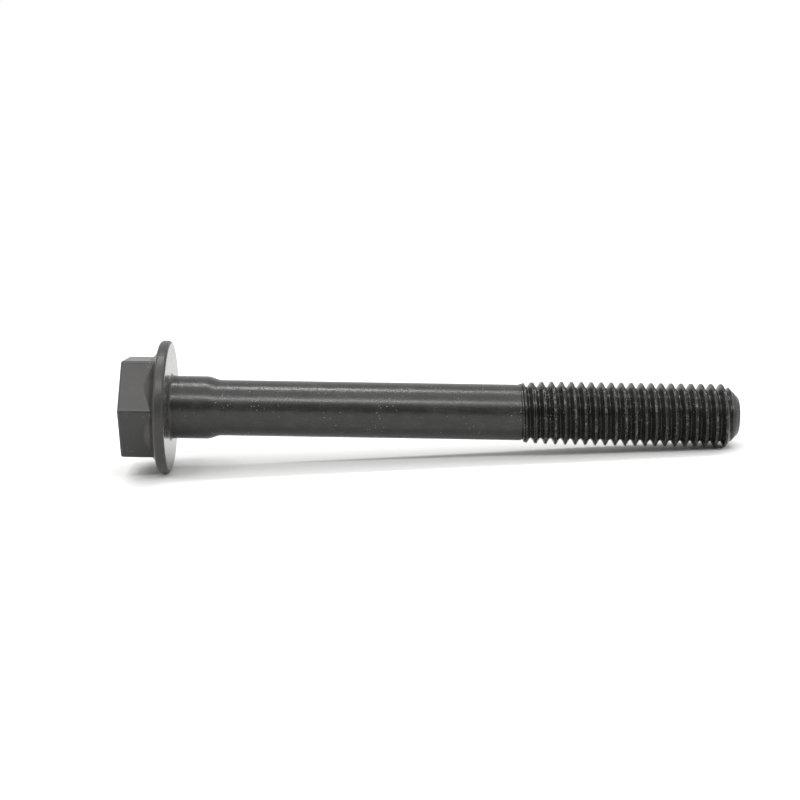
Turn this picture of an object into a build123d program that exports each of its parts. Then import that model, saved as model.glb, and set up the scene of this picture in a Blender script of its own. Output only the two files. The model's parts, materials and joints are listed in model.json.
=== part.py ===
"""Hexagon flange bolt, M8 x 1.25, with a full-size neck, a reduced shank and a rolled thread.

The bolt is one forged and rolled piece of steel. It lies as it comes to rest on a flat surface,
on the rim of its flange and on its last crests. The origin is the centre of the bearing face,
+X runs along the bolt towards its tip, and +Z is up.
"""

from build123d import *
from math import atan2, cos, radians, sin, tan
import os

# Driving dimensions, in millimetres and degrees. Heights are measured along the bolt from the
# bearing face: positive towards the tip, negative towards the end of the head.
across_flats = 12.0
head_height = 5.86
hex_edge_radius = 0.45
hex_end_radius = 0.3
corner_above_level = 6.0
dish_diameter = 8.2
dish_depth = 0.4
dish_wall_angle = 40.0

flange_diameter = 16.66
rim_height = 1.28
rim_edge_radius = 0.5
flange_top_angle = 15.0
# The flange's top sweeps up into the flats, towards a core just inside the hexagon.
blend_core_diameter = 11.72
blend_radius = 2.1

neck_diameter = 7.87
neck_length = 4.8
under_head_radius = 0.5
taper_end = 6.1
taper_corner_radius = 2.0
shank_diameter = 7.0

pitch = 1.25
thread_diameter = 7.94
root_diameter = 6.45
flank_angle = 30.0
crest_width = 0.19
groove_start_step = 0.16
# The first raised lip, where it crosses the bolt's upper side. Past it the crests fill out.
lip_height = 43.94
lip_radius = 3.69
crest_rise_length = 4.2
crest_rise_power = 0.6

# The point: a 45 degree chamfer down to a slightly raised end.
overall_length = 71.42
dome_height = 71.06
dome_radius = 2.35
dome_corner_radius = 0.5

# How the ridge of the thread is built, on a blank that is cut back to the point at the end.
sections_per_turn = 16
ridge_sink = 0.1
corner_search_steps = 24
stock_excess = 1.5

# Worked out from the driving dimensions.
corner_radius = across_flats / 2 / cos(radians(30))
flange_radius = flange_diameter / 2
blend_core_radius = blend_core_diameter / 2
blend_core_height = rim_height + (flange_radius - blend_core_radius) * tan(radians(flange_top_angle))
head_core_height = -0.9 * head_height
neck_radius = neck_diameter / 2
shank_radius = shank_diameter / 2
thread_radius = thread_diameter / 2
root_radius = root_diameter / 2
flank_slope = tan(radians(flank_angle))
chamfer_height = dome_height - (thread_radius - dome_radius)
stock_radius = thread_radius + stock_excess
stock_length = overall_length + stock_excess

# The tilt at which the flange's rim and the crest where the chamfer begins touch one surface.
rest_tilt = atan2(flange_radius - thread_radius, chamfer_height + rim_edge_radius)
along = Vector(cos(rest_tilt), 0, -sin(rest_tilt))
down = Vector(-sin(rest_tilt), 0, -cos(rest_tilt))
aside = along.cross(down)
bolt_axis = Axis((0, 0, 0), along)


def across(height: float) -> Plane:
    """The plane square to the bolt at a height, with its x axis pointing down."""
    return Plane(along * height, x_dir=down, z_dir=along)


def lengthwise(outward: Vector) -> Plane:
    """The plane through the bolt's axis where x is the radius and y is the height."""
    return Plane((0, 0, 0), x_dir=outward, z_dir=outward.cross(along))


def envelope(height: float) -> float:
    """The radius that the crests reach at a height."""
    filled = min(max((height - lip_height) / crest_rise_length, 0), 1) ** crest_rise_power
    before_lip = max(lip_height - height, 0) / (pitch / 2)
    risen = lip_radius + (thread_radius - lip_radius) * filled
    sunk = (lip_radius - shank_radius) * before_lip
    return risen - sunk


def flank_height(middle: float, radius: float, side: int) -> float:
    """The height of one flank of the ridge at a radius; side is -1 or 1."""
    return middle + side * (crest_width / 2 + (thread_radius - radius) * flank_slope)


def crest_corner(middle: float, side: int) -> tuple[float, float]:
    """The radius and height at which one flank meets the envelope."""
    lowest = root_radius - ridge_sink / 2
    radius = thread_radius
    for _ in range(corner_search_steps):
        reached = max(envelope(flank_height(middle, radius, side)), lowest)
        radius = (radius + reached) / 2
    return radius, flank_height(middle, radius, side)


def ridge_section(angle: float) -> Sketch:
    """The ridge's section at an angle past the lip's crossing of the upper side."""
    middle = lip_height + pitch * angle / 360
    outward = down * cos(radians(180 + angle)) + aside * sin(radians(180 + angle))
    foot = root_radius - ridge_sink
    with BuildSketch(lengthwise(outward)) as section:
        with BuildLine():
            Polyline(
                (foot, flank_height(middle, foot, -1)),
                crest_corner(middle, -1),
                crest_corner(middle, 1),
                (foot, flank_height(middle, foot, 1)),
                close=True,
            )
        make_face()
    return section.sketch


# Each point of the turned blank: radius, height, and the radius that rounds its corner.
turned_blank = [
    (blend_core_radius, head_core_height, 0),
    (blend_core_radius, -blend_core_height, blend_radius),
    (flange_radius, -rim_height, rim_edge_radius),
    (flange_radius, 0, rim_edge_radius),
    (neck_radius, 0, under_head_radius),
    (neck_radius, neck_length, taper_corner_radius),
    (shank_radius, taper_end, taper_corner_radius),
    (shank_radius, lip_height, 0),
    (root_radius, lip_height + groove_start_step, 0),
    (root_radius, stock_length, 0),
]

with BuildPart() as flange_bolt:
    # The hexagon, with the shallow dish that heading leaves in its end.
    with BuildSketch(across(-head_height)):
        RegularPolygon(corner_radius, 6, rotation=-90 - corner_above_level)
    extrude(amount=head_height - rim_height / 2)
    fillet(flange_bolt.edges().filter_by(bolt_axis), hex_edge_radius)
    fillet(flange_bolt.faces().sort_by(bolt_axis)[0].edges(), hex_end_radius)
    with BuildSketch(across(-head_height)):
        Circle(dish_diameter / 2)
    extrude(amount=dish_depth, taper=dish_wall_angle, mode=Mode.SUBTRACT)

    # Flange, neck, shank and thread core.
    with BuildSketch(lengthwise(down)):
        with BuildLine():
            FilletPolyline(
                *[(radius, height) for radius, height, corner in turned_blank],
                radius=[corner for radius, height, corner in turned_blank[1:-1]],
            )
            Polyline(
                (root_radius, stock_length),
                (0, stock_length),
                (0, head_core_height),
                (blend_core_radius, head_core_height),
            )
        make_face()
    revolve(axis=bolt_axis)

    # The thread: one loft for each turn of the helical ridge.
    turns = round((dome_height - lip_height) / pitch)
    for turn in range(turns):
        steps = [turn - 0.5 + step / sections_per_turn for step in range(sections_per_turn + 1)]
        loft([ridge_section(360 * step) for step in steps])

    # The point: all that lies outside its chamfer and its dome is cut away.
    with BuildSketch(lengthwise(down)):
        with BuildLine():
            FilletPolyline(
                (stock_radius, dome_height + dome_radius - stock_radius),
                (dome_radius, dome_height),
                (0, overall_length),
                radius=[dome_corner_radius],
            )
            Polyline(
                (0, overall_length),
                (0, stock_length + stock_excess),
                (stock_radius, stock_length + stock_excess),
                (stock_radius, dome_height + dome_radius - stock_radius),
            )
        make_face()
    revolve(axis=bolt_axis, mode=Mode.SUBTRACT)

flange_bolt.part.label = "flange_bolt"
os.makedirs("parts", exist_ok=True)
export_step(flange_bolt.part, "parts/flange_bolt.step")
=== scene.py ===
"""A hexagon flange bolt in black phosphated steel, lying on a pale floor in soft studio light.

Sizes of the bolt are in millimetres, along and square to its axis, as its maker would give them.
Heights run along the bolt from the bearing face, towards the tip. The meshes are in metres.
"""

import json
import logging
from collections.abc import Mapping, Sequence
from dataclasses import dataclass, field
from enum import Enum
from math import atan2, ceil, cos, hypot, pi, radians, sin, sqrt, tan

import bpy
from mathutils import Matrix, Vector

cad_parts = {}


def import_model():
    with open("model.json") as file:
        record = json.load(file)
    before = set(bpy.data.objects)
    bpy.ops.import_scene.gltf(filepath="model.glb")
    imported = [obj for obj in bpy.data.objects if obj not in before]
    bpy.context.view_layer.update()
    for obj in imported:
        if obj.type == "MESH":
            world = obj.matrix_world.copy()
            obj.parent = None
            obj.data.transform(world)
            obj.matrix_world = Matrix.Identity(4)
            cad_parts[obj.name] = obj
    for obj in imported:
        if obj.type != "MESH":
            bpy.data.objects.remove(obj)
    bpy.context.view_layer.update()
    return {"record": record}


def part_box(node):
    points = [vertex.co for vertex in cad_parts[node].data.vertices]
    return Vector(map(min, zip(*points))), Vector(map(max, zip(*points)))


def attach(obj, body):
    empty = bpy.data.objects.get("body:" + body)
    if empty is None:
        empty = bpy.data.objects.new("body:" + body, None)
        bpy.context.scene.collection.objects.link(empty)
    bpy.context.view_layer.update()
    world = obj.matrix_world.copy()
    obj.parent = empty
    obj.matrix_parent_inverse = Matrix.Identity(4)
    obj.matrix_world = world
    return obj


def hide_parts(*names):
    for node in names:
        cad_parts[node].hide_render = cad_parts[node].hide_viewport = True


LOG = logging.getLogger("flange_bolt")
MM = 0.001
NODE = "flange_bolt"

Point = tuple[float, float]
Colour = tuple[float, float, float]
Cloud = tuple[float, float, float]


class Side(Enum):
    """The two flanks of the thread's ridge."""

    HEADWARD = -1
    TIPWARD = 1


class Zone(Enum):
    """The stretches of the bolt that are finished apart, as heights in millimetres."""

    HEAD = (-6.0, -0.05)
    SHANK = (6.0, 43.5)
    THREAD = (43.5, 72.0)
    FIRST_TURNS = (44.0, 47.5)
    BEARING_FACE = (-0.03, 0.03)


# ---------------------------------------------------------------------------------------------
# Shader maths
# ---------------------------------------------------------------------------------------------


class Wire:
    """A socket that Python's operators take further, with one Math node for each step."""

    def __init__(self, finisher: "Finisher", socket: bpy.types.NodeSocket) -> None:
        """Keeps the socket and the finisher that owns its node."""
        self.finisher = finisher
        self.socket = socket

    def _math(self, operation: str, *values: "Wire | float") -> "Wire":
        """Adds one Math node.

        Args:
            operation: the Math node's operation.
            values: its inputs, in order.

        Returns:
            The node's value.
        """
        node = self.finisher.node(
            "ShaderNodeMath", {"operation": operation}, dict(enumerate(values))
        )
        return Wire(self.finisher, node.outputs[0])

    def __add__(self, other: "Wire | float") -> "Wire":
        """self + other."""
        return self._math("ADD", self, other)

    __radd__ = __add__

    def __sub__(self, other: "Wire | float") -> "Wire":
        """self - other."""
        return self._math("SUBTRACT", self, other)

    def __rsub__(self, other: float) -> "Wire":
        """other - self."""
        return self._math("SUBTRACT", other, self)

    def __mul__(self, other: "Wire | float") -> "Wire":
        """self * other."""
        return self._math("MULTIPLY", self, other)

    __rmul__ = __mul__

    def __pow__(self, other: float) -> "Wire":
        """self ** other."""
        return self._math("POWER", self, other)

    def step(self, start: float, end: float) -> "Wire":
        """A smooth step from 0 at start to 1 at end.

        Args:
            start: the value at which the step is still 0.
            end: the value from which it is 1.

        Returns:
            The step, between 0 and 1.
        """
        node = self.finisher.node(
            "ShaderNodeMapRange",
            {"interpolation_type": "SMOOTHSTEP"},
            {"Value": self, "From Min": start, "From Max": end, "To Min": 0.0, "To Max": 1.0},
        )
        return Wire(self.finisher, node.outputs["Result"])

    def within(self, low: float, high: float, soft: float) -> "Wire":
        """1 between low and high, falling to 0 over a soft margin outside them.

        Args:
            low: the lower end.
            high: the upper end.
            soft: the width of each margin.

        Returns:
            The mask, between 0 and 1.
        """
        return self.step(low - soft, low) * (1 - self.step(high, high + soft))


class Finisher:
    """Builds the nodes of one material or of the room's light."""

    def __init__(self, owner: bpy.types.Material | bpy.types.World) -> None:
        """Starts with an empty node tree for that material or world."""
        owner.use_nodes = True
        self.tree = owner.node_tree
        self.tree.nodes.clear()

    def node(
        self,
        kind: str,
        settings: Mapping[str, object] | None = None,
        inputs: Mapping[str | int, object] | None = None,
    ) -> bpy.types.Node:
        """Adds any node.

        Args:
            kind: the node's type.
            settings: its properties, set before its sockets.
            inputs: a value, a Wire or a socket for each input, by name or place.

        Returns:
            The node.
        """
        node = self.tree.nodes.new(kind)
        for key, value in (settings or {}).items():
            setattr(node, key, value)
        for key, value in (inputs or {}).items():
            socket = node.inputs[key]
            if isinstance(value, Wire):
                self.tree.links.new(value.socket, socket)
            elif isinstance(value, bpy.types.NodeSocket):
                self.tree.links.new(value, socket)
            else:
                socket.default_value = value
        return node

    def mix(self, share: Wire | float, first: object, second: object) -> bpy.types.NodeSocket:
        """Mixes two colours.

        Args:
            share: how much of the second colour shows, from 0 to 1.
            first: a colour or a colour socket.
            second: a colour or a colour socket.

        Returns:
            The mixed colour's socket.
        """
        factor, colour_a, colour_b, result = 0, 6, 7, 2
        colours = [
            (*value, 1.0) if isinstance(value, tuple) else value for value in (first, second)
        ]
        node = self.node(
            "ShaderNodeMix",
            {"data_type": "RGBA"},
            {factor: share, colour_a: colours[0], colour_b: colours[1]},
        )
        return node.outputs[result]

    def noise(
        self, place: bpy.types.NodeSocket, per_mm: float, detail: float = 3.0, rough: float = 0.55
    ) -> Wire:
        """Cloudy noise, between 0 and 1.

        Args:
            place: the coordinates, in millimetres.
            per_mm: how many blots there are in a millimetre.
            detail: how many finer layers it has.
            rough: how strong the finer layers are.

        Returns:
            The noise.
        """
        node = self.node(
            "ShaderNodeTexNoise",
            None,
            {"Vector": place, "Scale": per_mm, "Detail": detail, "Roughness": rough},
        )
        return Wire(self, node.outputs["Fac"])

    def grains(self, place: bpy.types.NodeSocket, per_mm: float, size: float) -> Wire:
        """Separate grains, 1 at each grain's middle and 0 outside it.

        Args:
            place: the coordinates, in millimetres.
            per_mm: how many grains there are in a millimetre.
            size: a grain's radius, as a share of the room that it has.

        Returns:
            The mask of the grains.
        """
        node = self.node("ShaderNodeTexVoronoi", None, {"Vector": place, "Scale": per_mm})
        return 1 - Wire(self, node.outputs["Distance"]).step(0.4 * size, size)


# ---------------------------------------------------------------------------------------------
# The bolt's own axes
# ---------------------------------------------------------------------------------------------


@dataclass(frozen=True)
class Lie:
    """How the bolt lies: its origin and its own three axes."""

    origin: Vector
    along: Vector
    up: Vector
    near: Vector

    @classmethod
    def from_record(cls, record: Mapping[str, object]) -> "Lie":
        """Reads the lie from the bearing face's mount.

        Args:
            record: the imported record.

        Returns:
            The bolt's origin and axes.
        """
        face = next(mount for mount in record["mounts"] if mount["name"] == "bearing_face")
        along = Vector(face["axis"]).normalized()
        near = Vector((0.0, -1.0, 0.0))
        return cls(Vector(face["pos_m"]), along, near.cross(along).normalized(), near)

    def place(self, height: float, radius: float, angle: float) -> Vector:
        """A point in the row's frame.

        Args:
            height: along the bolt, in millimetres.
            radius: out from its axis, in millimetres.
            angle: round it, in radians, from the top towards the near side.

        Returns:
            The point, in metres.
        """
        spoke = self.up * cos(angle) + self.near * sin(angle)
        return self.origin + (self.along * height + spoke * radius) * MM


# ---------------------------------------------------------------------------------------------
# Finishes
# ---------------------------------------------------------------------------------------------


@dataclass(frozen=True)
class PhosphateFinish:
    """Black phosphate on steel: dull crystals, oiled, rubbed grey where hands have been.

    A Cloud is a noise: its blots in a millimetre, its finer layers and their strength. The
    grains and clusters are their number in a millimetre and their size.
    """

    deep: Colour = (0.0070, 0.0068, 0.0064)
    worn: Colour = (0.032, 0.031, 0.0275)
    ground: Colour = (0.26, 0.257, 0.248)
    grain: Colour = (0.22, 0.215, 0.20)
    bare: Colour = (0.17, 0.168, 0.16)
    mottle: Cloud = (0.55, 4.0, 0.6)
    crystals: Cloud = (9.0, 4.0, 0.7)
    drawn: Cloud = (1.6, 4.0, 0.6)
    drawn_stretch: Colour = (0.35, 3.2, 3.2)
    turned: Cloud = (1.2, 3.0, 0.6)
    turned_stretch: Colour = (6.0, 0.5, 0.5)
    scatter: Cloud = (0.32, 2.0, 0.5)
    patches: Cloud = (1.7, 4.0, 0.7)
    grains: Point = (2.3, 0.22)
    clusters: Point = (3.1, 0.34)
    head_wear: float = 0.35
    crest_wear: float = 0.5
    roughness: float = 0.25
    bump_strength: float = 0.35
    bump_height: float = 0.03
    crest_radius: float = 3.93
    crest_depth: float = 0.12
    ring_lines_per_mm: float = 9.0

    def coordinates(self, work: Finisher, lie: Lie) -> tuple[Wire, Wire, bpy.types.NodeSocket]:
        """The place on the bolt, measured along its own axes.

        Args:
            work: the material's finisher.
            lie: the bolt's axes.

        Returns:
            The height, the radius and the whole place, in millimetres.
        """
        raw = work.node("ShaderNodeTexCoord").outputs["Object"]
        scaled = work.node(
            "ShaderNodeVectorMath", {"operation": "SCALE"}, {0: raw, "Scale": 1 / MM}
        ).outputs[0]
        parts = [
            Wire(
                work,
                work.node(
                    "ShaderNodeVectorMath", {"operation": "DOT_PRODUCT"}, {0: scaled, 1: axis}
                ).outputs["Value"],
            )
            for axis in (lie.along, lie.up, lie.near)
        ]
        place = work.node("ShaderNodeCombineXYZ", None, dict(enumerate(parts))).outputs[0]
        radius = (parts[1] ** 2 + parts[2] ** 2) ** 0.5
        return parts[0], radius, place

    def stretched(
        self, work: Finisher, place: bpy.types.NodeSocket, factors: Colour
    ) -> bpy.types.NodeSocket:
        """The place, stretched along the bolt's axes so that a texture draws out into lines."""
        return work.node(
            "ShaderNodeVectorMath", {"operation": "MULTIPLY"}, {0: place, 1: factors}
        ).outputs[0]

    def make(self, lie: Lie) -> bpy.types.Material:
        """Builds the material.

        Args:
            lie: the bolt's axes.

        Returns:
            The finished material.
        """
        material = bpy.data.materials.new("black_phosphate")
        work = Finisher(material)
        height, radius, place = self.coordinates(work, lie)

        mottle = work.noise(place, *self.mottle)
        crystals = work.noise(place, *self.crystals)
        drawn = work.noise(self.stretched(work, place, self.drawn_stretch), *self.drawn)
        turned = work.noise(self.stretched(work, place, self.turned_stretch), *self.turned)

        head = height.within(*Zone.HEAD.value, 0.05)
        shank = height.within(*Zone.SHANK.value, 0.6)
        thread = height.within(*Zone.THREAD.value, 0.4)
        crest = thread * radius.step(self.crest_radius - self.crest_depth, self.crest_radius)

        rubbed = mottle.step(0.35, 0.75) * 0.3 + crystals.step(0.45, 0.75) * 0.35
        rubbed = rubbed + drawn.step(0.5, 0.72) * shank * 0.35
        base = work.mix(rubbed, self.deep, self.worn)
        base = work.mix(head * self.head_wear, base, self.worn)

        scatter = work.noise(place, *self.scatter)
        grains = work.grains(place, *self.grains) * scatter.step(0.5, 0.62)
        start = height.within(*Zone.FIRST_TURNS.value, 1.0)
        clusters = work.grains(place, *self.clusters) * scatter.step(0.42, 0.6)
        loose = grains * 0.55 + clusters * start * 0.8
        base = work.mix(loose, base, self.grain)

        patches = work.noise(place, *self.patches)
        polished = crest * patches.step(0.50, 0.66) * self.crest_wear
        base = work.mix(polished, base, self.bare)

        face = height.within(*Zone.BEARING_FACE.value, 0.02)
        lines = work.noise(
            work.node(
                "ShaderNodeCombineXYZ", None, {0: radius * self.ring_lines_per_mm, 1: height}
            ).outputs[0],
            1.0,
        )
        base = work.mix(face * (lines.step(0.3, 0.7) * 0.5 + 0.45), base, self.ground)

        roughness = self.roughness + head * 0.1 + (crystals - 0.5) * 0.24 + (mottle - 0.5) * 0.12
        roughness = roughness - polished * 0.08 + loose * 0.3

        relief = crystals * 0.55 + drawn * shank * 0.5 + turned * (1 - shank) * 0.25
        bump = work.node(
            "ShaderNodeBump",
            None,
            {
                "Strength": self.bump_strength,
                "Distance": self.bump_height * MM,
                "Height": relief + loose * 0.8,
            },
        )
        shader = work.node(
            "ShaderNodeBsdfPrincipled",
            None,
            {
                "Base Color": base,
                "Roughness": roughness,
                "Metallic": face * 0.75 + 0.1,
                "Normal": bump.outputs[0],
                "Specular IOR Level": 0.5,
            },
        )
        work.node("ShaderNodeOutputMaterial", None, {"Surface": shader.outputs[0]})
        return material


@dataclass(frozen=True)
class FloorFinish:
    """A matt white studio floor."""

    shade: Colour = (0.68, 0.68, 0.675)
    speck: Colour = (0.66, 0.66, 0.655)

    def make(self) -> bpy.types.Material:
        """Builds the material.

        Returns:
            The finished material.
        """
        material = bpy.data.materials.new("studio_floor")
        work = Finisher(material)
        raw = work.node("ShaderNodeTexCoord").outputs["Object"]
        cloud = work.noise(raw, 40.0)
        shader = work.node(
            "ShaderNodeBsdfPrincipled",
            None,
            {
                "Base Color": work.mix(cloud, self.shade, self.speck),
                "Roughness": 0.9,
                "Specular IOR Level": 0.0,
            },
        )
        work.node("ShaderNodeOutputMaterial", None, {"Surface": shader.outputs[0]})
        return material


# ---------------------------------------------------------------------------------------------
# Meshes
# ---------------------------------------------------------------------------------------------


def piece_from(
    name: str, points: Sequence[Vector], faces: Sequence[Sequence[int]], sharp_degrees: float
) -> bpy.types.Object:
    """Makes a smooth-shaded object from points and faces.

    Args:
        name: the piece's name.
        points: its corners, in metres.
        faces: the corners of each face.
        sharp_degrees: edges that turn by more than this stay sharp.

    Returns:
        The new object, linked to the scene.
    """
    mesh = bpy.data.meshes.new(name)
    mesh.from_pydata([tuple(point) for point in points], [], [tuple(face) for face in faces])
    mesh.validate()
    mesh.shade_smooth()
    mesh.set_sharp_from_angle(angle=radians(sharp_degrees))
    piece = bpy.data.objects.new(name, mesh)
    bpy.context.scene.collection.objects.link(piece)
    return piece


def dress(piece: bpy.types.Object, material: bpy.types.Material) -> None:
    """Gives a piece of the bolt its finish, and ties it to the bolt."""
    piece.data.materials.append(material)
    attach(piece, "root")
    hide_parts(NODE)
    LOG.info("%s: %d faces", piece.name, len(piece.data.polygons))


@dataclass(frozen=True)
class Corner:
    """A corner of a turned outline, rounded by an arc where it has one."""

    radius: float
    height: float
    round: float = 0.0


@dataclass(frozen=True)
class Outline:
    """A turned outline: straight runs with rounded corners."""

    corners: tuple[Corner, ...]
    arc_step: float = 0.05
    run_step: float = 0.6
    least_arc_steps: int = 6
    straight_degrees: float = 89.9

    def _arc(self, before: Corner, corner: Corner, after: Corner) -> list[Point]:
        """The points that round one corner.

        Args:
            before: the corner before it.
            corner: the corner to round.
            after: the corner after it.

        Returns:
            Points as radius and height, from one tangent point to the other.
        """
        here = Vector((corner.radius, corner.height))
        back = (Vector((before.radius, before.height)) - here).normalized()
        ahead = (Vector((after.radius, after.height)) - here).normalized()
        half = back.angle(ahead) / 2
        if corner.round == 0 or half > radians(self.straight_degrees):
            return [(corner.radius, corner.height)]
        middle = here + (back + ahead).normalized() * (corner.round / sin(half))
        first = here + back * (corner.round / tan(half)) - middle
        last = here + ahead * (corner.round / tan(half)) - middle
        turn = first.angle(last)
        count = max(self.least_arc_steps, ceil(turn * corner.round / self.arc_step))
        points = []
        for number in range(count + 1):
            share = number / count
            spoke = (
                first * sin((1 - share) * turn) + last * sin(share * turn)
            ) / sin(turn)
            points.append(tuple(middle + spoke))
        return points

    def points(self) -> list[Point]:
        """The whole outline.

        Returns:
            Points as radius and height, close enough together for a smooth mesh.
        """
        ends = self.corners
        found: list[Point] = [(ends[0].radius, ends[0].height)]
        for before, corner, after in zip(ends, ends[1:], ends[2:]):
            arc = self._arc(before, corner, after)
            found += self._run(found[-1], arc[0])[1:] + arc[1:]
        return found + self._run(found[-1], (ends[-1].radius, ends[-1].height))[1:]

    def _run(self, start: Point, end: Point) -> list[Point]:
        """The points of one straight run, both ends among them."""
        count = max(1, ceil(hypot(end[0] - start[0], end[1] - start[1]) / self.run_step))
        return [
            tuple(Vector(start).lerp(Vector(end), number / count)) for number in range(count + 1)
        ]


@dataclass(frozen=True)
class Ring:
    """One ring of the forging: a circle, or a circle with the hexagon standing out of it."""

    radius: float
    height: float
    apothem: float = 0.0
    share: float = 0.0


@dataclass
class HexHead:
    """The hexagon, with rounded edges, a rounded end and the shallow dish that heading leaves."""

    across_flats: float = 12.0
    height: float = 5.86
    edge_radius: float = 0.45
    end_radius: float = 0.3
    corner_above_level: float = 6.0
    dish_radius: float = 4.1
    dish_depth: float = 0.4
    dish_wall_angle: float = 40.0
    dish_round: float = 0.06
    least_edge_radius: float = 0.02
    merge: float = 0.06
    sides: int = 6

    def corner_angle(self) -> float:
        """The angle of the near corner, from the top."""
        return radians(90 - self.corner_above_level)

    def reach(self, angle: float, apothem: float) -> float:
        """The hexagon's radius in one direction.

        Args:
            angle: the direction, from the top.
            apothem: half the distance across flats.

        Returns:
            The radius to the flat, or to the arc that rounds the edge.
        """
        pitch = 2 * pi / self.sides
        turned = (angle - self.corner_angle() + pitch / 2) % pitch - pitch / 2
        half = pitch / 2
        inset = self.across_flats / 2 - apothem
        edge = max(self.edge_radius - inset * 0.5, self.least_edge_radius)
        centre = (apothem - edge) / cos(half)
        tangent = atan2(edge * sin(half), centre + edge * cos(half))
        if abs(turned) < tangent:
            return centre * cos(turned) + sqrt(edge**2 - (centre * sin(turned)) ** 2)
        return apothem / cos(half - abs(turned))

    def ring_radius(self, ring: Ring, angle: float) -> float:
        """The ring's radius in one direction, with a soft joint where the flats meet the sweep.

        Args:
            ring: the ring.
            angle: the direction, from the top.

        Returns:
            The radius, in millimetres.
        """
        if ring.share == 0:
            return ring.radius
        stands = self.reach(angle, ring.apothem) - ring.radius
        overlap = max(self.merge - abs(stands), 0) / self.merge
        proud = max(stands, 0) + overlap**2 * self.merge / 4 * (ring.share == 1)
        return ring.radius + ring.share * proud

    def end_rings(self, core_radius: float) -> list[Ring]:
        """The rings from the middle of the dish, over the end, to the start of the flats.

        Args:
            core_radius: the radius of the turned core inside the hexagon.

        Returns:
            The rings, in order.
        """
        floor_radius = self.dish_radius - self.dish_depth * tan(radians(self.dish_wall_angle))
        floor_height = self.dish_depth - self.height
        soft, floor_steps, face_steps, round_steps = self.dish_round, 6, 8, 8
        rings = [
            Ring(floor_radius * step / floor_steps, floor_height)
            for step in range(1, floor_steps)
        ]
        rings += [
            Ring(floor_radius - soft, floor_height),
            Ring(floor_radius + soft * 0.5, floor_height - soft * 0.6),
            Ring(self.dish_radius - soft * 0.6, soft - self.height),
            Ring(self.dish_radius, soft * 0.25 - self.height),
            Ring(self.dish_radius + soft, -self.height),
        ]
        flat_apothem = self.across_flats / 2 - self.end_radius
        rings += [
            Ring(self.dish_radius + soft, -self.height, flat_apothem, step / face_steps)
            for step in range(1, face_steps)
        ]
        for step in range(round_steps + 1):
            turn = pi / 2 * step / round_steps
            apothem = flat_apothem + self.end_radius * sin(turn)
            level = self.end_radius * (1 - cos(turn)) - self.height
            rings.append(Ring(min(core_radius, self.dish_radius + soft), level, apothem, 1.0))
        return rings


@dataclass
class Flange:
    """The flange with its sweep up into the flats."""

    diameter: float = 16.66
    rim_height: float = 1.28
    rim_edge_radius: float = 0.5
    top_angle: float = 15.0
    blend_core_diameter: float = 11.72
    blend_radius: float = 2.1

    def corners(self) -> tuple[Corner, ...]:
        """The corners of its outline, from the sweep to the bearing face's edge."""
        core, rim = self.blend_core_diameter / 2, self.diameter / 2
        core_height = self.rim_height + (rim - core) * tan(radians(self.top_angle))
        return (
            Corner(core, -core_height, self.blend_radius),
            Corner(rim, -self.rim_height, self.rim_edge_radius),
            Corner(rim, 0.0, self.rim_edge_radius),
        )


@dataclass
class Shank:
    """The full-size neck, the taper, the reduced shank, the thread's core and the point."""

    neck_radius: float = 3.935
    neck_length: float = 4.8
    under_head_radius: float = 0.5
    taper_end: float = 6.1
    taper_corner_radius: float = 2.0
    radius: float = 3.5
    groove_start: float = 43.94
    groove_start_step: float = 0.16
    core_radius: float = 3.225
    dome_radius: float = 2.35
    dome_height: float = 71.06
    dome_corner_radius: float = 0.5
    length: float = 71.42

    def corners(self) -> tuple[Corner, ...]:
        """The corners of its outline, from under the head to the middle of the tip."""
        return (
            Corner(self.neck_radius, 0.0, self.under_head_radius),
            Corner(self.neck_radius, self.neck_length, self.taper_corner_radius),
            Corner(self.radius, self.taper_end, self.taper_corner_radius),
            Corner(self.radius, self.groove_start),
            Corner(self.core_radius, self.groove_start + self.groove_start_step),
            Corner(self.core_radius, self.dome_height + self.dome_radius - self.core_radius),
            Corner(self.dome_radius, self.dome_height, self.dome_corner_radius),
            Corner(0.0, self.length),
        )


@dataclass
class ForgedBody:
    """The forging: head, flange, shank and thread core in one skin."""

    head: HexHead = field(default_factory=HexHead)
    flange: Flange = field(default_factory=Flange)
    shank: Shank = field(default_factory=Shank)
    spokes: int = 240

    def rings(self) -> list[Ring]:
        """All rings of the skin, from the dish to the tip."""
        core = self.flange.blend_core_diameter / 2
        start = self.head.end_radius - self.head.height
        outline = Outline((Corner(core, start), *self.flange.corners(), *self.shank.corners()))
        turned = []
        for radius, height in outline.points()[1:-1]:
            hexagonal = height < -self.flange.rim_height
            apothem = self.head.across_flats / 2 if hexagonal else 0.0
            turned.append(Ring(radius, height, apothem, float(hexagonal)))
        return self.head.end_rings(core) + turned

    def build(self, lie: Lie) -> bpy.types.Object:
        """Makes the skin.

        Args:
            lie: the bolt's axes.

        Returns:
            The forged body.
        """
        rings = self.rings()
        angles = [
            self.head.corner_angle() + 2 * pi * number / self.spokes
            for number in range(self.spokes)
        ]
        points = [
            lie.place(ring.height, self.head.ring_radius(ring, angle), angle)
            for ring in rings
            for angle in angles
        ]
        faces = []
        for row in range(len(rings) - 1):
            for number in range(self.spokes):
                following = (number + 1) % self.spokes
                lower, upper = row * self.spokes, (row + 1) * self.spokes
                faces.append((lower + number, lower + following, upper + following, upper + number))
        dish, tip = len(points), len(points) + 1
        points += [
            lie.place(self.head.dish_depth - self.head.height, 0, 0),
            lie.place(self.shank.length, 0, 0),
        ]
        last = (len(rings) - 1) * self.spokes
        for number in range(self.spokes):
            following = (number + 1) % self.spokes
            faces.append((dish, following, number))
            faces.append((tip, last + number, last + following))
        return piece_from("forged_body", points, faces, 50)


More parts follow.
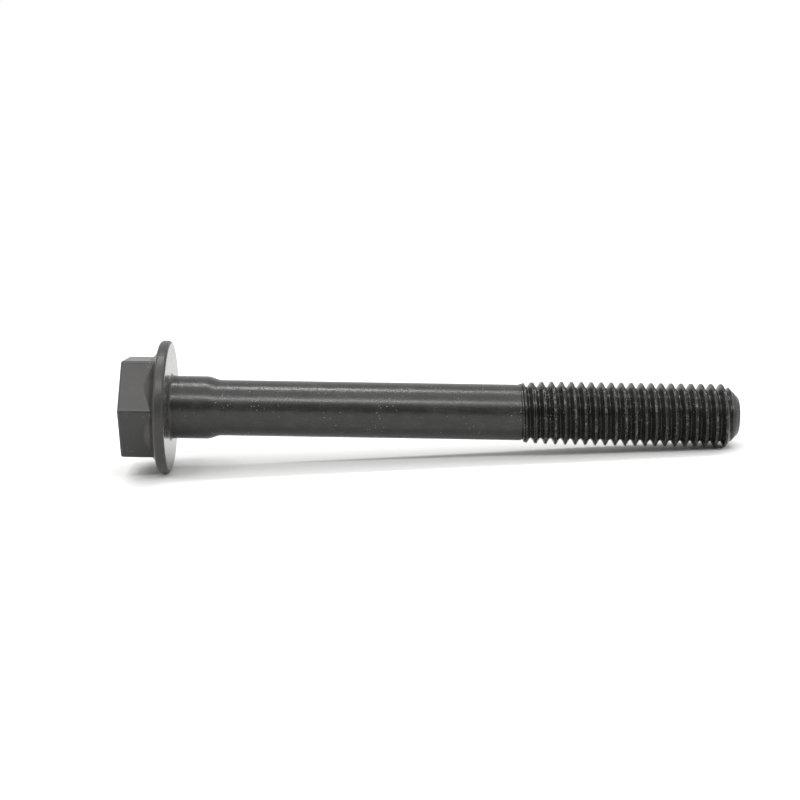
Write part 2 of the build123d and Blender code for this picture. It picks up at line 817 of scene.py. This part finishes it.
@dataclass
class RolledThread:
    """The rolled thread: one ridge wound round the core, with the fine seam that rolling leaves."""

    shank: Shank
    pitch: float = 1.25
    diameter: float = 7.94
    flank_angle: float = 30.0
    crest_width: float = 0.19
    lip_radius: float = 3.69
    rise_length: float = 4.2
    rise_power: float = 0.6
    turns: int = 22
    sections: int = 96
    sink: float = 0.12
    root_round: float = 0.12
    seam_depth: float = 0.045
    seam_limit: float = 0.16
    crest_round: tuple[Point, ...] = ((0.0, -0.018), (0.1, 0.0), (0.3, 0.0))
    seam_shape: tuple[Point, ...] = ((0.42, -0.5), (0.5, -1.0))
    foot_flare: float = 0.1
    root_flare: tuple[Point, ...] = ((0.0, 0.075), (0.03, 0.04), (0.09, 0.012))
    root_below_crest: float = 0.02
    flank_shares: tuple[float, ...] = (0.35, 0.7, 0.96)
    flank_below_crest: float = 0.012
    last_height: float = 70.55
    point_sink: float = 0.06
    point_fade: float = 0.1
    corner_search_steps: int = 24

    def slope(self) -> float:
        """How far a flank runs along the bolt for each millimetre that it rises."""
        return tan(radians(self.flank_angle))

    def envelope(self, height: float) -> float:
        """The radius that the crests reach at a height, from the first lip to the full thread."""
        lip = self.shank.groove_start
        filled = min(max((height - lip) / self.rise_length, 0), 1) ** self.rise_power
        before = max(lip - height, 0) / (self.pitch / 2)
        full = self.diameter / 2
        sunk = (self.lip_radius - self.shank.radius) * before
        return self.lip_radius + (full - self.lip_radius) * filled - sunk

    def flank(self, middle: float, radius: float, side: Side) -> float:
        """The height of one flank at a radius."""
        reach = self.crest_width / 2 + (self.diameter / 2 - radius) * self.slope()
        return middle + side.value * reach

    def crest_corner(self, middle: float, side: Side) -> Point:
        """Where one flank meets the envelope.

        Args:
            middle: the height of the ridge's middle.
            side: the flank.

        Returns:
            The radius and the height.
        """
        lowest = self.shank.core_radius - self.sink / 2
        radius = self.diameter / 2
        for _ in range(self.corner_search_steps):
            reached = max(self.envelope(self.flank(middle, radius, side)), lowest)
            radius = (radius + reached) / 2
        return radius, self.flank(middle, radius, side)

    def section(self, turned: float) -> list[Point]:
        """The ridge's section.

        Args:
            turned: how far round it is from the first lip, in turns.

        Returns:
            Points as radius and height, from the foot on the head's side to the other foot.
        """
        middle = self.shank.groove_start + self.pitch * turned
        back, ahead = (self.crest_corner(middle, side) for side in Side)
        width = ahead[1] - back[1]
        seam = min(self.seam_depth + (width - self.crest_width) * 0.25, self.seam_limit)
        crest = [*self.crest_round, *((share, drop * seam) for share, drop in self.seam_shape)]
        crest += [(1 - share, drop) for share, drop in reversed(crest[:-1])]
        points = self._flank_points(middle, back[0], Side.HEADWARD)
        for share, drop in crest:
            radius = back[0] + (ahead[0] - back[0]) * share + drop
            points.append((radius, back[1] + width * share))
        points += reversed(self._flank_points(middle, ahead[0], Side.TIPWARD))
        return [self._pointed(radius, min(height, self.last_height)) for radius, height in points]

    def _flank_points(self, middle: float, top: float, side: Side) -> list[Point]:
        """The foot, the rounded root and the flank up to just under the crest.

        Args:
            middle: the height of the ridge's middle.
            top: the crest's radius.
            side: the flank.

        Returns:
            Points as radius and height, from the foot up.
        """
        core = self.shank.core_radius
        points = []
        for rise, flare in ((-self.sink, self.foot_flare), *self.root_flare):
            radius = core + rise
            height = self.flank(middle, radius, side) + side.value * flare
            points.append((min(radius, top - self.root_below_crest), height))
        for share in self.flank_shares:
            radius = core + self.root_round + (top - core - self.root_round) * share
            below = min(radius, top - self.flank_below_crest)
            points.append((below, self.flank(middle, radius, side)))
        return points

    def _pointed(self, radius: float, height: float) -> Point:
        """The place after the point's chamfer has been cut, as radius and height."""
        chamfer = self.shank.dome_radius + self.shank.dome_height - height
        fade = (self.shank.core_radius + self.point_fade - chamfer) / self.point_fade
        return min(radius, chamfer - self.point_sink * min(max(fade, 0), 1)), height

    def build(self, lie: Lie) -> bpy.types.Object:
        """Winds the ridge.

        Args:
            lie: the bolt's axes.

        Returns:
            The ridge, as a closed skin whose foot is inside the core.
        """
        points, faces = [], []
        count = self.turns * self.sections
        for number in range(count + 1):
            turned = number / self.sections - 0.5
            outline = self.section(turned)
            points += [lie.place(height, radius, 2 * pi * turned) for radius, height in outline]
        size = len(outline)
        for number in range(count):
            for place in range(size):
                near, far = number * size, (number + 1) * size
                following = (place + 1) % size
                faces.append((near + place, near + following, far + following, far + place))
        faces.append(tuple(reversed(range(size))))
        faces.append(tuple(count * size + place for place in range(size)))
        return piece_from("rolled_thread", points, faces, 40)


# ---------------------------------------------------------------------------------------------
# The studio
# ---------------------------------------------------------------------------------------------


@dataclass(frozen=True)
class StripLamp:
    """A far strip lamp that runs beside the bolt, made of a row of round lamps.

    Its elevation is measured from the near side over the top, its thickness is how wide each
    lamp looks and its spread is how far the row reaches each way along the bolt, in degrees.
    """

    name: str
    elevation: float
    thickness: float
    spread: float
    power: float
    lamps: int = 5

    def hang(self) -> None:
        """Hangs the row of lamps."""
        rise = radians(self.elevation)
        for number in range(self.lamps):
            light = bpy.data.lights.new(f"{self.name}_{number}", "SUN")
            light.angle = radians(self.thickness)
            light.energy = self.power / self.lamps
            holder = bpy.data.objects.new(light.name, light)
            aside = radians(self.spread * (2 * number / (self.lamps - 1) - 1))
            away = Vector((sin(aside), -cos(aside) * cos(rise), cos(aside) * sin(rise)))
            holder.rotation_euler = away.to_track_quat("Z", "Y").to_euler()
            holder.location = away
            bpy.context.scene.collection.objects.link(holder)
        LOG.info("strip lamp %s", self.name)


@dataclass
class Room:
    """The white tent round the bolt: a bright ceiling, a lit far wall and a darker near one."""

    far_wall: float = 1.0
    near_wall: float = 0.4
    wall_turn: tuple[float, float] = (-0.75, -0.25)
    ceiling: float = 1.75
    ceiling_middle: float = 74.0
    ceiling_edge: float = 46.0
    ceiling_full: float = 30.0
    just_over_one: float = 1.0001

    def light(self) -> None:
        """Builds the room's light, from the direction of each ray alone."""
        world = bpy.data.worlds.new("studio_room")
        bpy.context.scene.world = world
        work = Finisher(world)
        way = work.node("ShaderNodeTexCoord").outputs["Generated"]
        parts = work.node("ShaderNodeSeparateXYZ", None, {"Vector": way}).outputs
        along, aside = Wire(work, parts["X"]), Wire(work, parts["Y"])
        rise = radians(self.ceiling_middle)
        lamp_way = (0.0, -cos(rise), sin(rise))
        facing = Wire(
            work,
            work.node(
                "ShaderNodeVectorMath", {"operation": "DOT_PRODUCT"}, {0: way, 1: lamp_way}
            ).outputs["Value"],
        )
        square = facing * (self.just_over_one - along**2) ** -0.5
        ceiling = square.step(cos(radians(self.ceiling_edge)), cos(radians(self.ceiling_full)))
        wall = aside.step(*self.wall_turn) * (self.far_wall - self.near_wall) + self.near_wall
        glow = wall + ceiling * (self.ceiling - wall)
        background = work.node(
            "ShaderNodeBackground", None, {"Color": (1.0, 1.0, 1.0, 1.0), "Strength": glow}
        )
        work.node("ShaderNodeOutputWorld", None, {"Surface": background.outputs[0]})


@dataclass
class Studio:
    """The floor, the lights and the camera."""

    floor_radius: float = 12.0
    floor_spokes: int = 96
    floor_rings: int = 10
    lens: float = 83.8
    sensor: float = 36.0
    distance: float = 233.9
    elevation: float = 12.0
    roll: float = 0.91
    look_height: float = 28.69
    look_above: float = 1.32
    clip: tuple[float, float] = (0.01, 50.0)
    room: Room = field(default_factory=Room)
    lamps: tuple[StripLamp, ...] = (
        StripLamp("near_tube", 50.0, 5.0, 32.0, 1.5),
        StripLamp("far_tube", 103.0, 5.0, 28.0, 1.6),
    )

    def lay_floor(self, level: float) -> bpy.types.Object:
        """Lays a round floor.

        Args:
            level: the height of the bolt's lowest point.

        Returns:
            The floor.
        """
        reaches = [
            self.floor_radius * (step / self.floor_rings) ** 2
            for step in range(1, self.floor_rings + 1)
        ]
        points = [Vector((0.0, 0.0, level))]
        for reach in reaches:
            for number in range(self.floor_spokes):
                angle = 2 * pi * number / self.floor_spokes
                points.append(Vector((reach * cos(angle), reach * sin(angle), level)))
        faces: list[tuple[int, ...]] = []
        for number in range(self.floor_spokes):
            following = (number + 1) % self.floor_spokes
            faces.append((0, 1 + number, 1 + following))
            for step in range(len(reaches) - 1):
                inner, outer = 1 + step * self.floor_spokes, 1 + (step + 1) * self.floor_spokes
                faces.append((inner + number, outer + number, outer + following, inner + following))
        floor = piece_from("studio_floor", points, faces, 180)
        floor.data.materials.append(FloorFinish().make())
        LOG.info("%s: %d faces", floor.name, len(floor.data.polygons))
        return floor

    def light(self) -> None:
        """Lights the room and hangs the two strip lamps."""
        self.room.light()
        for lamp in self.lamps:
            lamp.hang()

    def stand_camera(self, lie: Lie) -> bpy.types.Object:
        """Stands the camera square to the bolt, a little above it, with a slight roll.

        Args:
            lie: the bolt's axes.

        Returns:
            The camera.
        """
        raised = sin(radians(self.elevation))
        ahead = Vector((lie.along.z / lie.along.x * raised, 0.0, -raised))
        ahead.y = sqrt(1 - ahead.length_squared)
        over = lie.along.cross(ahead)
        roll = radians(self.roll)
        right = lie.along * cos(roll) + over * sin(roll)
        up = over * cos(roll) - lie.along * sin(roll)
        target = lie.along * self.look_height + over * self.look_above
        spot = lie.origin + (target - ahead * self.distance) * MM
        data = bpy.data.cameras.new("studio_camera")
        data.lens = self.lens
        data.sensor_width = self.sensor
        data.clip_start, data.clip_end = self.clip
        camera = bpy.data.objects.new("studio_camera", data)
        turn = Matrix((right, up, -ahead)).transposed().to_4x4()
        camera.matrix_world = Matrix.Translation(spot) @ turn
        bpy.context.scene.collection.objects.link(camera)
        bpy.context.scene.camera = camera
        LOG.info("camera stands at %s", tuple(round(value, 4) for value in spot))
        return camera


def main() -> None:
    """Loads the frame, builds and dresses the bolt, and sets up the studio."""
    logging.basicConfig(level=logging.INFO, format="%(message)s")
    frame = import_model()
    lie = Lie.from_record(frame["record"])
    steel = PhosphateFinish().make(lie)

    body = ForgedBody()
    dress(body.build(lie), steel)
    dress(RolledThread(body.shank).build(lie), steel)

    studio = Studio()
    studio.lay_floor(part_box(NODE)[0].z)
    studio.light()
    studio.stand_camera(lie)
    bpy.context.scene.view_settings.view_transform = "Standard"


if __name__ == "__main__":
    main()
